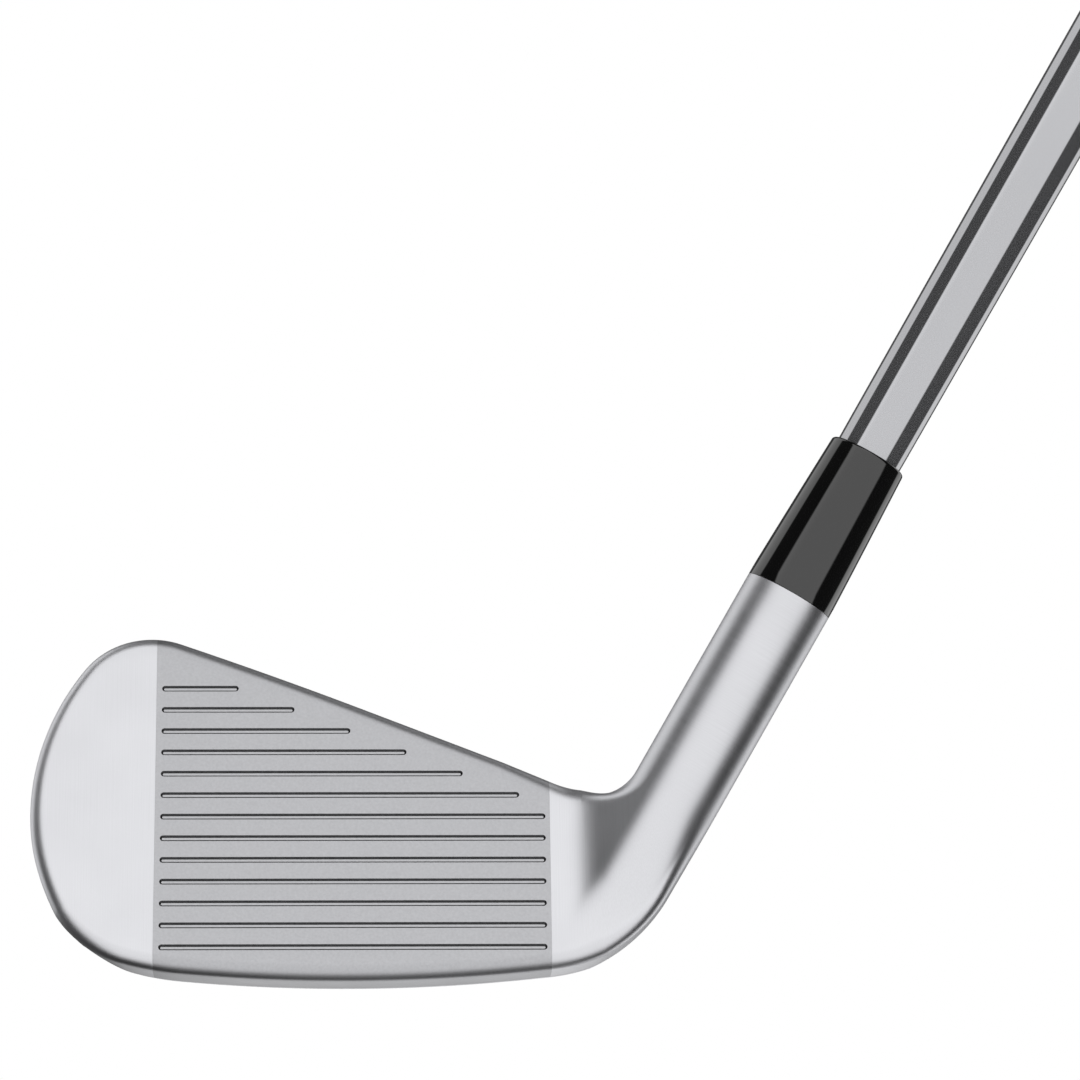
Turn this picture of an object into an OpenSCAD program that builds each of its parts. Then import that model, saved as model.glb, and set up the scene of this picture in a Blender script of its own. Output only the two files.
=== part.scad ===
// Iron golf club: hollow forged 4-iron head, ferrule, stepped steel shaft and rubber grip.
// Frame: origin where the sole touches the ground, +X from toe to heel, the face looks to -Y, +Z up.
// The shaft axis lies in a plane of constant y. All sizes are in millimetres.

/* [Club] */
// Length along the shaft axis from the ground to the butt end
club_length = 978; // [940:1:1010]
// Angle between the shaft axis and the ground
lie = 60.1; // [59:0.1:61.5]
// Angle between the face and the vertical
loft = 23; // [21:0.5:25]

/* [Blade outline, measured in the plane of the face] */
// Height of the top line above the leading edge at the crotch
crotch_height = 31.80; // [31.50:0.01:32.10]
// Slope of the top line where it leaves the crotch
top_slope = 23.22; // [22.4:0.1:24.4]
// Length of the top line from the crotch to the toe
top_length = 57.01; // [54:0.1:58]
// Radius of the slight crown of the top line
top_crown_r = 670; // [560:10:1170]
// Radius of the high corner of the toe
toe_high_r = 11.88; // [11:0.1:14]
// Radius of the end of the toe
toe_end_r = 39.85; // [38:0.1:43]
// Radius of the low corner of the toe
toe_low_r = 15.95; // [15:0.1:17]
// Radius where the toe runs into the sole
toe_sole_r = 45.6; // [42:1:49]
// Radius of the sole from toe to heel
sole_r = 234; // [224:1:244]
// Radius of the heel
heel_r = 23.92; // [23.5:0.1:24.3]

/* [Blade section] */
// Thickness of the blade at the top line
top_thickness = 6; // [5.5:0.1:7]
// Depth of the head behind the face at the sole
sole_depth = 17; // [16:0.1:18]
// Height where the muscle starts to thin
muscle_low = 14; // [13:0.5:15]
// Height where the muscle has reached the thin upper back
muscle_high = 25; // [24:0.5:26]
// Radius of the leading edge
lead_r = 1.6; // [1.4:0.1:2.2]
// Radius of the trailing edge
trail_r = 3; // [2:0.1:4]
// Radius of the front edge of the top line
top_front_r = 2.1; // [1.6:0.1:2.4]
// Radius of the back edge of the top line
top_back_r = 1.6; // [1:0.1:2]
// Downward slope of the sole from the leading to the trailing edge
bounce = 2; // [1:0.5:4]
// Extra rise of the lower edge toward the back round the toe, in degrees
toe_rise = 6; // [3:0.5:8]
// Bulge of the sole between its edges
camber = 0.8; // [0.4:0.1:1.2]

/* [Hosel] */
// Outside diameter of the hosel
hosel_d = 12.998; // [12.9:0.01:13.2]
// Distance from the ground to the top of the hosel along the shaft axis
hosel_top = 64.1; // [60:0.1:68]
// Distance of the shaft axis behind the face's ground line
axis_y = 10.4; // [10.2:0.1:10.8]
// Radius of the crotch between top line and hosel
crotch_r = 8.08; // [7.8:0.05:8.4]
// Diameter of the shaft bore
bore_d = 9.9; // [9.8:0.05:10]
// Depth of the shaft bore
bore_depth = 31.6; // [28:0.1:32]

/* [Face plate] */
// Distance of the plate's toe edge from the shaft axis at the ground
plate_toe_x = 57.93; // [56:0.01:59]
// Distance of the plate's heel edge from the shaft axis at the ground
plate_heel_x = 2.07; // [1.5:0.01:3]
// Thickness of the face plate
plate_thickness = 2.4; // [2:0.1:2.8]
// Number of score lines
line_count = 13; // [9:1:13]
// Distance between score lines
line_pitch = 3.4; // [3:0.05:3.5]
// Height of the lowest score line above the leading edge
line_first = 6.02; // [5.5:0.01:7]
// Width of a score line
line_width = 0.9; // [0.5:0.01:0.9]
// Depth of a score line
line_depth = 0.27; // [0.2:0.01:0.5]

/* [Shaft] */
// Diameter of the shaft's tip
tip_d = 9.02; // [9:0.01:9.4]
// Diameter of the shaft where it leaves the ferrule
neck_d = 9.93; // [9.6:0.01:10]
// Diameter of the shaft just below its first step
first_step_d = 11.36; // [11:0.01:11.6]
// Diameter of the parallel butt section
butt_d = 15.24; // [15:0.01:15.5]
// Distance from the ground to the first step along the shaft
first_step = 240; // [200:1:260]
// Distance between steps
step_pitch = 31.75; // [25:0.25:32]
// Number of steps
step_count = 13; // [11:1:13]
// Wall thickness of the tube at the butt
butt_wall = 0.4; // [0.35:0.05:0.6]

/* [Ferrule] */
// Length of the ferrule
ferrule_length = 23.2; // [20:0.1:26]
// Diameter of the ferrule at its upper end
ferrule_top_d = 11.5; // [11.2:0.1:12]

/* [Grip] */
// Length of the grip with its cap
grip_length = 267; // [255:1:272]
// Diameter of the grip at its mouth
grip_mouth_d = 19.6; // [19:0.1:21]
// Diameter of the grip below its cap
grip_butt_d = 25.8; // [25:0.1:27]
// Diameter of the vent hole in the cap
vent_d = 4; // [3:0.1:5]

/* [Hidden] */

// Clearance between separate pieces that are bonded or pressed together
gap = 0.02;
// Angle by which the flat of the face stops short of the vertical below the crotch
fan_start = -4.7;
// How far round from the end of the toe that rise reaches, in degrees
toe_rise_span = 80;
// Slope of the flank that runs from the hosel down to the face, and the width of its hollow blend
flank_angle = 40.4;
hosel_blend = 2;
// Distance over which the flank starts beside the face plate
blend_start = 3;
// Radius of the front edge at the crotch, the place where it starts to grow and how far that takes
crotch_front_r = 3.6;
crotch_roll_x = -7;
crotch_roll = 12;

hosel_r = hosel_d / 2;
// Unit vectors along the shaft axis and across it towards the toe, in the x-z plane
axis_dir = [cos(lie), sin(lie)];
axis_left = [-sin(lie), cos(lie)];
// Centre of the crotch arc and the place along the axis where the hosel turns cylindrical
turn_along = 31.67;
pivot = turn_along * axis_dir + (hosel_r + crotch_r) * axis_left;
// Centre of the heel arc, which is tangent to the outer side of the hosel
heel_along = 18.18;
heel_centre = heel_along * axis_dir + (heel_r - hosel_r) * axis_left;
heel_tangent = heel_centre - heel_r * axis_left;
heel_tangent_angle = atan2(heel_tangent.x - pivot.x, pivot.y - heel_tangent.y);

// Point of the sole that touches the ground
sole_x = -30.09;
sole_y = 12.09;
sole_z = 0.052;

// Counts of the surface grid
front_steps = 5;
edge_steps = 4;
back_steps = 4;
back_rows = 14;
face_rows = 9;
fan_loops = 14;

// ---------- Outline of the blade ----------

// Each stretch is [radius, sweep, steps], or [length, 0, steps] for a straight one.
// The walk starts at the crotch and runs over the top line and round the toe to the heel.
start_heading = 180 + fan_start;
crotch_sweep = 180 - top_slope - start_heading;
crown_sweep = 2.44;
high_sweep = 75.14;
toe_down = 270 - (180 - top_slope + crown_sweep + high_sweep);
top_segments = [
    [14, crotch_sweep, 4],
    [top_length - top_crown_r * crown_sweep * PI / 180, 0, 1],
    [top_crown_r, crown_sweep, 13],
    [toe_high_r, high_sweep, 12],
    [toe_end_r, toe_down, 8]
];
low_segments = [
    [toe_end_r, 23.44, 6],
    [toe_low_r, 49.53, 12],
    [toe_sole_r, 11.40, 4],
    [sole_r, 12.64, 12],
    [heel_r, 20.66, 4]
];

// Points [x, w, heading] along one stretch that starts at point p with the given heading
function stretch(p, heading, seg) = [
    for (i = [1:seg[2]])
        let (a = seg[1] * i / seg[2], side = seg[1] < 0 ? -1 : 1)
        seg[1] == 0
            ? [p.x + cos(heading) * seg[0] * i / seg[2], p.y + sin(heading) * seg[0] * i / seg[2], heading]
            : [p.x + side * seg[0] * (sin(heading + a) - sin(heading)),
               p.y + side * seg[0] * (cos(heading) - cos(heading + a)), heading + a]
];

function walk(p, segs, n = 0) = n == len(segs) ? [p] :
    let (run = stretch(p, p[2], segs[n]))
    concat([p], [for (i = [0:len(run) - 2]) run[i]], walk(run[len(run) - 1], segs, n + 1));

outline_start = [pivot.x + crotch_r * sin(fan_start), crotch_height, start_heading];
top_run = walk(outline_start, top_segments);
low_run = walk(top_run[len(top_run) - 1], low_segments);
columns = len(top_run) - 1;

// ---------- Section of the blade ----------

function mix(a, b, t) = a + (b - a) * t;
function limit(v, lo, hi) = min(max(v, lo), hi);
function smooth(v) = let (t = limit(v, 0, 1)) t * t * (3 - 2 * t);

// Depth of the back behind the face at height w
function back_depth(w) =
    mix(top_thickness, sole_depth,
        (1 + cos(180 * limit((w - muscle_low) / (muscle_high - muscle_low), 0, 1))) / 2);

// Rounded corner in the (depth, inset) plane that turns from one heading to another
function corner(p, from, to, r, steps) =
    let (l = r * tan((to - from) / 2), s = [p.x - l * cos(from), p.y - l * sin(from)])
    [for (i = [0:steps]) let (a = mix(from, to, i / steps))
        [s.x + r * (sin(a) - sin(from)), s.y + r * (cos(from) - cos(a))]];

// Edge profile [depth, inset] at an outline point, from the face to the back
function edge_profile(point) =
    let (up = (1 - cos(point[2])) / 2,
         down = 1 - up,
         lift = 1.5 * pow(down, 3),
         round_toe = max(min((point[2] - 270) / toe_rise_span, 1), 0),
         slope = (loft - bounce) * pow(down, 1.5) + toe_rise * pow(sin(180 * round_toe), 2),
         depth = back_depth(point.y + cos(point[2]) * trail_r),
         bulge = camber * pow(down, 2),
         top_r = mix(top_front_r, crotch_front_r, smooth((point.x - crotch_roll_x) / crotch_roll)),
         front = corner([0, lift], -90, slope, mix(lead_r, top_r, up), front_steps),
         back_r = mix(trail_r, top_back_r, up),
         back = corner([depth, lift + depth * tan(slope)], slope, 90, back_r, back_steps),
         a = front[front_steps],
         b = back[0],
         middle = [for (i = [1:edge_steps]) mix(a, b, i / (edge_steps + 1))])
    [for (p = concat(front, middle, back)) let (f = p.x / depth) [p.x, p.y - 4 * bulge * f * (1 - f)]];

// Point of the head from x, height w along the face and depth q behind it
function from_face(x, w, q) = [x, w * sin(loft) + q * cos(loft), w * cos(loft) - q * sin(loft)];

// Edge points [x, w, q] of one outline point
function edge_ring(point) = [for (p = edge_profile(point))
    [point.x - p.y * sin(point[2]), point.y + p.y * cos(point[2]), p.x]];

edge_last = front_steps + edge_steps + back_steps + 1;
loop_size = 2 * (edge_last + 1) + back_rows + face_rows;

// Closed loop over the top edge, down the back, round the sole and up the face
function blade_loop(i) =
    let (top = edge_ring(top_run[i]),
         low = edge_ring(low_run[columns - i]),
         top_back = top[edge_last],
         low_back = low[edge_last])
    [for (p = concat(
        top,
        [for (j = [1:back_rows]) let (m = mix(top_back, low_back, j / (back_rows + 1)))
            [m.x, m.y, back_depth(m.y)]],
        [for (k = [edge_last:-1:0]) low[k]],
        [for (j = [1:face_rows]) mix(low[0], top[0], j / (face_rows + 1))]))
        from_face(p.x, p.y, p.z)];

toe_ring = [for (p = edge_ring(top_run[columns])) from_face(p.x, p.y, p.z)];

// ---------- Turn from the blade to the hosel ----------

// Direction round the hosel of each loop point, from the crotch side over the back
function hosel_angle(j) =
    j <= edge_last ? mix(-45, 45, j / edge_last)
    : j <= edge_last + back_rows ? mix(45, 135, (j - edge_last) / (back_rows + 1))
    : j <= 2 * edge_last + 1 + back_rows ? mix(135, 225, (j - edge_last - 1 - back_rows) / edge_last)
    : mix(225, 315, (j - 2 * edge_last - 1 - back_rows) / (face_rows + 1));

// Distance from the crotch centre to the heel's outline, and how squarely the fan's ray meets it
function heel_edge(fan) =
    let (e = pivot - heel_centre,
         b = [sin(fan), -cos(fan)] * e,
         arc = -b + sqrt(max(b * b - e * e + heel_r * heel_r, 0)),
         square = cos(min(lie - fan, 68)))
    fan < heel_tangent_angle
        ? [arc, (arc + b) / heel_r]
        : [(crotch_r + 2 * hosel_r) / square, square];

// How far the front stands ahead of the face plane where the hosel grows out of it
function front_rise(x, z) =
    let (plane = z * tan(loft),
         left = z * cos(lie) - x * sin(lie),
         flank = sin(flank_angle) * hosel_r,
         side = limit(left, 0, flank),
         barrel = axis_y - sqrt(hosel_r * hosel_r - side * side) + tan(flank_angle) * max(left - flank, 0),
         near = max(hosel_blend - abs(plane - barrel), 0) / hosel_blend,
         front = min(plane, barrel) - near * near * hosel_blend / 4)
    (plane - front) * smooth((x + plate_heel_x) / blend_start);

// 1 on the face, 0 on the back, changing smoothly over the top and bottom edges
function front_weight(j) =
    j <= edge_last ? (1 + cos(180 * j / edge_last)) / 2
    : j <= edge_last + back_rows ? 0
    : j <= 2 * edge_last + 1 + back_rows ? (1 - cos(180 * (j - edge_last - 1 - back_rows) / edge_last)) / 2
    : 1;

// Blade loop whose front follows the foot of the hosel
function raised(loop) = [for (j = [0:loop_size - 1])
    let (p = loop[j])
    [p.x, p.y - front_rise(p.x, p.z) * front_weight(j), p.z]];

first_loop = blade_loop(0);
low_first = edge_last + 1 + back_rows;
low_last = 2 * edge_last + 1 + back_rows;

// Loop point before the front edges are matched to the face: [x, y, z, depth of the front]
function fan_point(j, t) =
    let (p = first_loop[j],
         a = hosel_angle(j),
         low = limit((1 - cos(a) / cos(45)) / 2, 0, 1),
         dx = p.x - pivot.x,
         dz = p.z - pivot.y,
         own = atan2(dx, -dz),
         fan = mix(own, lie, t),
         edge = heel_edge(fan),
         own_edge = heel_edge(own)[0],
         share = smooth(t),
         from_top = crotch_r + hosel_r * (1 - cos(a)),
         from_low = edge[0] - hosel_r * (1 + cos(a)) / edge[1],
         ring = hosel_r * (1 - cos(45)),
         middle = mix(crotch_r + ring, edge[0] - ring / edge[1], low),
         target = low <= 0 ? from_top : low >= 1 ? from_low : middle,
         blade = crotch_r + (norm([dx, dz]) - crotch_r) / (own_edge - crotch_r) * (edge[0] - crotch_r),
         reach = mix(blade, target, share),
         x = pivot.x + reach * sin(fan),
         z = pivot.y - reach * cos(fan),
         inside = (edge[0] - reach) * edge[1],
         sag = max(1 - limit(inside / hosel_r, 0, 1), 1 - limit((reach - crotch_r) / hosel_r, 0, 1)),
         side = sin(a) < 0 ? -1 : 1,
         round_y = axis_y + side * hosel_r * sqrt(1 - sag * sag),
         circle_y = low <= 0 || low >= 1 ? axis_y + hosel_r * sin(a) : round_y,
         overlap = limit(hosel_r - inside, 0, hosel_r),
         fall = share * (hosel_r - sqrt(hosel_r * hosel_r - overlap * overlap)))
    [x, mix(p.y, circle_y, share), z, z * tan(loft) - front_rise(x, z) + fall];

// Loop on the fan of planes through the crotch centre, at t = 0 the blade and at t = 1 the hosel
function fan_loop(t) =
    let (raw = [for (j = [0:loop_size - 1]) fan_point(j, t)],
         top_shift = raw[0][3] - raw[0].y,
         low_shift = raw[low_last][3] - raw[low_last].y)
    [for (j = [0:loop_size - 1])
        let (p = raw[j],
             y = j <= edge_last ? p.y + top_shift * front_weight(j)
                 : j < low_first ? p.y
                 : j <= low_last ? p.y + low_shift * front_weight(j)
                 : p[3])
        [p.x, y, p.z]];

// Circle round the hosel at a distance along the shaft axis
function hosel_loop(along) = [for (j = [0:loop_size - 1])
    let (a = hosel_angle(j), across = hosel_r * cos(a))
    [along * axis_dir.x + across * axis_left.x,
     axis_y + hosel_r * sin(a),
     along * axis_dir.y + across * axis_left.y]];

// ---------- Closed skin of the head ----------

// Number of the toe ring's point that stands for a loop point
function toe_index(j) =
    j <= edge_last ? j
    : j <= edge_last + back_rows ? edge_last
    : j <= 2 * edge_last + 1 + back_rows ? 2 * edge_last + 1 + back_rows - j
    : 0;

module head_skin() {
    loops = concat(
        [hosel_loop(hosel_top)],
        [for (i = [fan_loops:-1:1]) fan_loop(i / fan_loops)],
        [for (i = [0:columns - 1]) raised(blade_loop(i))]);
    last = len(loops) - 1;
    toe_base = len(loops) * loop_size;
    points = concat([for (l = loops) each l], toe_ring);
    quads = [for (i = [0:last - 1], j = [0:loop_size - 1])
        let (k = (j + 1) % loop_size, a = i * loop_size, b = a + loop_size)
        each [[a + j, b + j, b + k], [a + j, b + k, a + k]]];
    toe = [for (j = [0:loop_size - 1])
        let (k = (j + 1) % loop_size, a = last * loop_size,
             tj = toe_base + toe_index(j), tk = toe_base + toe_index(k))
        each concat(tj == tk ? [] : [[a + j, tj, tk]], [[a + j, tk, a + k]])];
    lid = [[for (j = [0:loop_size - 1]) j]];
    polyhedron(points, concat(quads, toe, lid));
}

// ---------- Frames ----------

// From the ground point of the shaft axis to the club's origin
module club_frame() {
    translate([-sole_x, -sole_y, -sole_z]) children();
}

// x along the leading edge, y up the face, z out of the face
module face_frame() {
    club_frame() rotate([90 - loft, 0, 0]) children();
}

// z along the shaft axis from the ground
module shaft_frame() {
    club_frame() translate([0, axis_y, 0]) rotate([0, 90 - lie, 0]) children();
}

// Plate of the given outline between two depths behind the face
module behind_face(near, far) {
    translate([0, 0, -far]) linear_extrude(far - near) children();
}

// ---------- Shapes shared by neighbouring pieces ----------

// Rectangle of the face plate, taller than the blade
module plate_area(grow = 0) {
    translate([-plate_toe_x - grow, -10])
        square([plate_toe_x - plate_heel_x + 2 * grow, 80]);
}

cavity_toe_x = -63;
cavity_heel_x = -6;
back_wall = 2.4;
muscle_wall = 4;

// Outline of the hollow, parallel to the top line
module cavity_area() {
    polygon([
        [cavity_toe_x + 8, 2],
        [cavity_heel_x, 2],
        [cavity_heel_x, 28],
        [-50, 47],
        [-59, 48],
        [cavity_toe_x - 3, 42],
        [cavity_toe_x - 4, 30],
        [cavity_toe_x, 16],
        [cavity_toe_x, 12.5]
    ]);
}

// Hollow between the face plate, the sole and the back wall
module cavity(shrink = 0) {
    thin = top_thickness - back_wall;
    deep = sole_depth - muscle_wall;
    face_frame() intersection() {
        behind_face(plate_thickness + shrink, sole_depth) offset(delta = -shrink) cavity_area();
        rotate([90, 0, 90]) translate([0, 0, -80]) linear_extrude(90) offset(delta = -shrink) polygon([
            [4.5, 1],
            [4.5, -plate_thickness],
            [4.5 + deep * tan(loft), -deep],
            [muscle_low + 0.5, -deep],
            [mix(muscle_low, muscle_high, 0.55), -mix(deep, thin, 0.7)],
            [muscle_high, -thin],
            [60, -thin],
            [60, 1]
        ]);
    }
}

weight_d = 7;
weight_x = -66;
weight_length = 18;

// Slug along the blade, seated in the toe wall
module weight_slug(grow = 0) {
    face_frame() translate([weight_x - grow, 14, -8]) rotate([0, 90, 0])
        cylinder(d = weight_d + 2 * grow, h = weight_length + 2 * grow, $fn = 48);
}

screw_x = -24;
screw_w = 12.6;
screw_head_d = 5;
screw_head_h = 1.4;
screw_d = 3.5;

// Stepped hole or plug of the filling port, pointing out of the back
module port_shape(grow = 0, length = 6, outside = 2) {
    face_frame() translate([screw_x, screw_w, -sole_depth]) {
        translate([0, 0, -outside])
            cylinder(d = screw_head_d + 2 * grow, h = screw_head_h + outside + grow, $fn = 48);
        cylinder(d = screw_d + 2 * grow, h = length, $fn = 48);
    }
}

slot_toe_x = -50;
slot_heel_x = -11;
slot_depth = 11.3;
slot_top = 7.2;
slot_width = 2.2;

// Slot through the sole, from below the ground to inside the sole wall
module slot_shape(shrink = 0) {
    r = slot_width / 2 - shrink;
    face_frame() translate([0, slot_top - shrink, -slot_depth - slot_width / 2])
        rotate([90, 0, 0]) linear_extrude(10) {
            translate([slot_toe_x, -r]) square([slot_heel_x - slot_toe_x, 2 * r]);
            for (x = [slot_toe_x, slot_heel_x]) translate([x, 0]) circle(r, $fn = 32);
        }
}

badge_recess = 0.8;
badge_thickness = 0.45;

// Outline of the badge on the upper back
module badge_area() {
    offset(r = 2, $fn = 32) polygon([[-61, 28.5], [-19, 28.5], [-19, 29.5], [-53, 44], [-60, 43.5]]);
}

// ---------- Head ----------

module head_body() {
    color("silver") difference() {
        club_frame() head_skin();
        face_frame() behind_face(-2, plate_thickness) plate_area();
        cavity();
        weight_slug(gap);
        slot_shape();
        port_shape(gap);
        face_frame() behind_face(top_thickness - badge_recess, top_thickness + 3) badge_area();
        shaft_frame() translate([0, 0, hosel_top - bore_depth])
            cylinder(d = bore_d, h = bore_depth + 5, $fn = 64);
    }
}

// Heel end of a score line: short of the heel, or parallel to the top line
function line_end(w) = min(-plate_heel_x - 0.62, -2.1 - (w - 28) / tan(23.1));

module score_line(w) {
    r = line_width / 2;
    toe_end = -plate_toe_x + 0.78 + r;
    heel_end = line_end(w) - r;
    translate([0, w, -line_depth]) linear_extrude(line_depth + 1) {
        translate([toe_end, -r]) square([heel_end - toe_end, 2 * r]);
        for (x = [toe_end, heel_end]) translate([x, 0]) circle(r, $fn = 24);
    }
}

module face_plate() {
    color("darkgray") difference() {
        intersection() {
            club_frame() head_skin();
            face_frame() behind_face(gap / 2, plate_thickness - gap) plate_area(-gap);
        }
        face_frame() for (i = [0:line_count - 1]) score_line(line_first + i * line_pitch);
    }
}

module toe_weight() {
    color("dimgray") weight_slug();
}

module core_filler() {
    color("khaki") difference() {
        cavity(gap);
        weight_slug(2 * gap);
        port_shape(2 * gap, 7);
        slot_shape(-gap);
    }
}

module port_screw() {
    socket_d = 2.4;
    socket_depth = 0.9;
    sunk = 0.35;
    color("gray") difference() {
        port_shape(outside = -sunk);
        face_frame() translate([screw_x, screw_w, -sole_depth])
            cylinder(d = socket_d, h = sunk + socket_depth, $fn = 6);
    }
}

module slot_insert() {
    color("black") intersection() {
        club_frame() head_skin();
        slot_shape(gap);
    }
}

module back_badge() {
    outer = top_thickness - 0.03;
    color("slategray") face_frame()
        behind_face(outer - badge_thickness, outer) offset(delta = -0.1) badge_area();
}

module badge_tape() {
    near = top_thickness - badge_recess + gap;
    far = top_thickness - 0.03 - badge_thickness - gap;
    color("whitesmoke") face_frame() behind_face(near, far) offset(delta = -0.6) badge_area();
}

// ---------- Shaft ----------

tip_along = hosel_top - bore_depth + 1;
neck_along = hosel_top + ferrule_length + 2.7;
shaft_end = club_length - 4.5;
tip_wall = 1.2;

// Outside radius of the shaft below the first step
function tip_radius(along) = along < neck_along
    ? mix(tip_d, neck_d, (along - tip_along) / (neck_along - tip_along)) / 2
    : mix(neck_d, first_step_d, (along - neck_along) / (first_step - neck_along)) / 2;

module shaft() {
    rise = (butt_d - first_step_d) / step_count;
    last_step = first_step + (step_count - 1) * step_pitch;
    neck_wall = 0.6;
    steps = [for (i = [0:step_count - 1]) each [
        [(first_step_d + i * rise) / 2, first_step + i * step_pitch],
        [(first_step_d + (i + 1) * rise) / 2, first_step + i * step_pitch + 0.6]
    ]];
    color("lightgray") shaft_frame() rotate_extrude($fn = 72) polygon(concat(
        [[tip_d / 2 - tip_wall, tip_along],
         [tip_d / 2 - 0.3, tip_along],
         [tip_d / 2, tip_along + 0.3],
         [neck_d / 2, neck_along]],
        steps,
        [[butt_d / 2, shaft_end],
         [butt_d / 2 - butt_wall, shaft_end],
         [butt_d / 2 - butt_wall, last_step + 10],
         [first_step_d / 2 - neck_wall, first_step]]));
}

module tip_plug() {
    color("saddlebrown") shaft_frame() translate([0, 0, tip_along + 1])
        cylinder(d = tip_d - 2 * tip_wall - 2 * gap, h = 9, $fn = 48);
}

// Layer of adhesive round the shaft's tip and under its end
module hosel_epoxy() {
    floor_along = hosel_top - bore_depth + gap;
    outer = bore_d / 2 - gap;
    color("goldenrod") shaft_frame() rotate_extrude($fn = 72) polygon([
        [0, floor_along],
        [outer, floor_along],
        [outer, hosel_top - gap],
        [tip_radius(hosel_top) + gap, hosel_top - gap],
        [tip_d / 2 + gap, tip_along - gap],
        [0, tip_along - gap]
    ]);
}

module ferrule() {
    top = hosel_top + ferrule_length;
    round_r = 0.5;
    color("black") shaft_frame() rotate_extrude($fn = 96) polygon(concat(
        [[tip_radius(hosel_top) + 2 * gap, hosel_top + gap],
         [hosel_r - 0.15, hosel_top + gap],
         [hosel_r, hosel_top + gap + 0.15],
         [hosel_r, hosel_top + 1.5]],
        [for (a = [0:15:90])
            [ferrule_top_d / 2 - round_r * (1 - cos(a)), top - round_r * (1 - sin(a))]],
        [[tip_radius(top) + 2 * gap, top]]));
}

band_along = 686;
band_length = 16;

module shaft_band() {
    color("dimgray") shaft_frame() translate([0, 0, band_along]) rotate_extrude($fn = 72)
        translate([butt_d / 2 + gap, 0]) square([0.12, band_length]);
}

// ---------- Grip ----------

grip_mouth = club_length - grip_length;
cap_height = 8;
tape_r = butt_d / 2 + 0.35;

module grip_tape() {
    color("beige") shaft_frame() translate([0, 0, grip_mouth + 2]) rotate_extrude($fn = 72)
        translate([butt_d / 2 + gap, 0]) square([tape_r - butt_d / 2 - gap, shaft_end - grip_mouth - 3]);
}

module grip() {
    top = club_length - cap_height - gap;
    color("#202020") shaft_frame() rotate_extrude($fn = 96) polygon([
        [tape_r + gap, grip_mouth],
        [grip_mouth_d / 2 - 1, grip_mouth],
        [grip_mouth_d / 2, grip_mouth + 1],
        [grip_mouth_d / 2 + 0.4, grip_mouth + 50],
        [grip_butt_d / 2 - 1, top - 60],
        [grip_butt_d / 2, top],
        [tape_r + gap, top]
    ]);
}

module grip_cap() {
    cap_r = grip_butt_d / 2 + 0.5;
    round_r = 2;
    base = club_length - cap_height;
    color("#2a2a2a") shaft_frame() rotate_extrude($fn = 96) polygon(concat(
        [[tape_r + gap, base],
         [cap_r - 0.4, base],
         [cap_r, base + 0.4]],
        [for (a = [0:15:90]) [cap_r - round_r * (1 - cos(a)), club_length - round_r * (1 - sin(a))]],
        [[vent_d / 2, club_length],
         [vent_d / 2, shaft_end + gap],
         [tape_r + gap, shaft_end + gap]]));
}

head_body();
face_plate();
toe_weight();
core_filler();
port_screw();
slot_insert();
back_badge();
badge_tape();
hosel_epoxy();
tip_plug();
ferrule();
shaft();
shaft_band();
grip_tape();
grip();
grip_cap();
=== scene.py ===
import math

import bmesh
import bpy
import numpy as np
from mathutils import Euler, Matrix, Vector
from mathutils.bvhtree import BVHTree


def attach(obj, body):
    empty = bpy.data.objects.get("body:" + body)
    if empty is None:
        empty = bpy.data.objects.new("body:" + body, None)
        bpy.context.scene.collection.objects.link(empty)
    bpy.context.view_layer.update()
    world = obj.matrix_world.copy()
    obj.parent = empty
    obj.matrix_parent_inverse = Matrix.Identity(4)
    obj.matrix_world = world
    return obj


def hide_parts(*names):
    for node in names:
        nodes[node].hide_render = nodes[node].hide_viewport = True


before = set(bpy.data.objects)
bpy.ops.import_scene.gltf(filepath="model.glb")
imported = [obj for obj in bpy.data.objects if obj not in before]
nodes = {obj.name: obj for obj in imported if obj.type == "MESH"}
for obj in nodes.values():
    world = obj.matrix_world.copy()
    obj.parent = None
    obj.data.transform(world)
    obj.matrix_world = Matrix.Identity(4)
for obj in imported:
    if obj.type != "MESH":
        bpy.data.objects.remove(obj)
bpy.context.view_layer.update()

MM = 0.001
BODY = "root"

# ----------------------------------------
# Driving dimensions of the club, in millimetres. In head coordinates x runs from
# the toe to the shaft, y from the face to the back and z up; the origin is at the
# foot of the face, in front of the point where the shaft's axis meets the ground.
# Points of the blade are also given as x, height up the face and depth behind it.
# ----------------------------------------
LIE = math.radians(60.1)
LOFT = math.radians(23.0)
SOLE_POINT = np.array([-30.09, 12.09, 0.052])  # the shared frame's origin, where the sole rests

# Hosel, and its turn into the blade round the crotch and round the heel
AXIS_Y = 10.4
HOSEL_R = 6.499
HOSEL_TOP = 64.1
CROTCH_R = 8.08
TURN_ALONG = 31.67
HEEL_R = 23.92
HEEL_ALONG = 18.18
FAN_START = math.radians(-4.7)
FLANK_ANGLE = math.radians(40.4)
HOSEL_BLEND = 2.0
BLEND_START = 3.0

# Outline of the blade: top line, toe and sole as arcs that run into one another
CROTCH_RUN_R = 14.0
CROTCH_HEIGHT = 31.80
TOP_SLOPE = math.radians(23.22)
TOP_LENGTH = 57.01
TOP_CROWN_R = 670.5
CROWN_SWEEP = math.radians(2.44)
TOE_HIGH_R, TOE_HIGH_SWEEP = 11.88, math.radians(75.14)
TOE_END_R, TOE_END_SWEEP = 39.85, math.radians(23.44)
TOE_LOW_R, TOE_LOW_SWEEP = 15.95, math.radians(49.53)
TOE_SOLE_R, TOE_SOLE_SWEEP = 45.60, math.radians(11.40)
SOLE_R, SOLE_SWEEP = 234.0, math.radians(12.64)
HEEL_SWEEP = math.radians(20.66)

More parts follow.
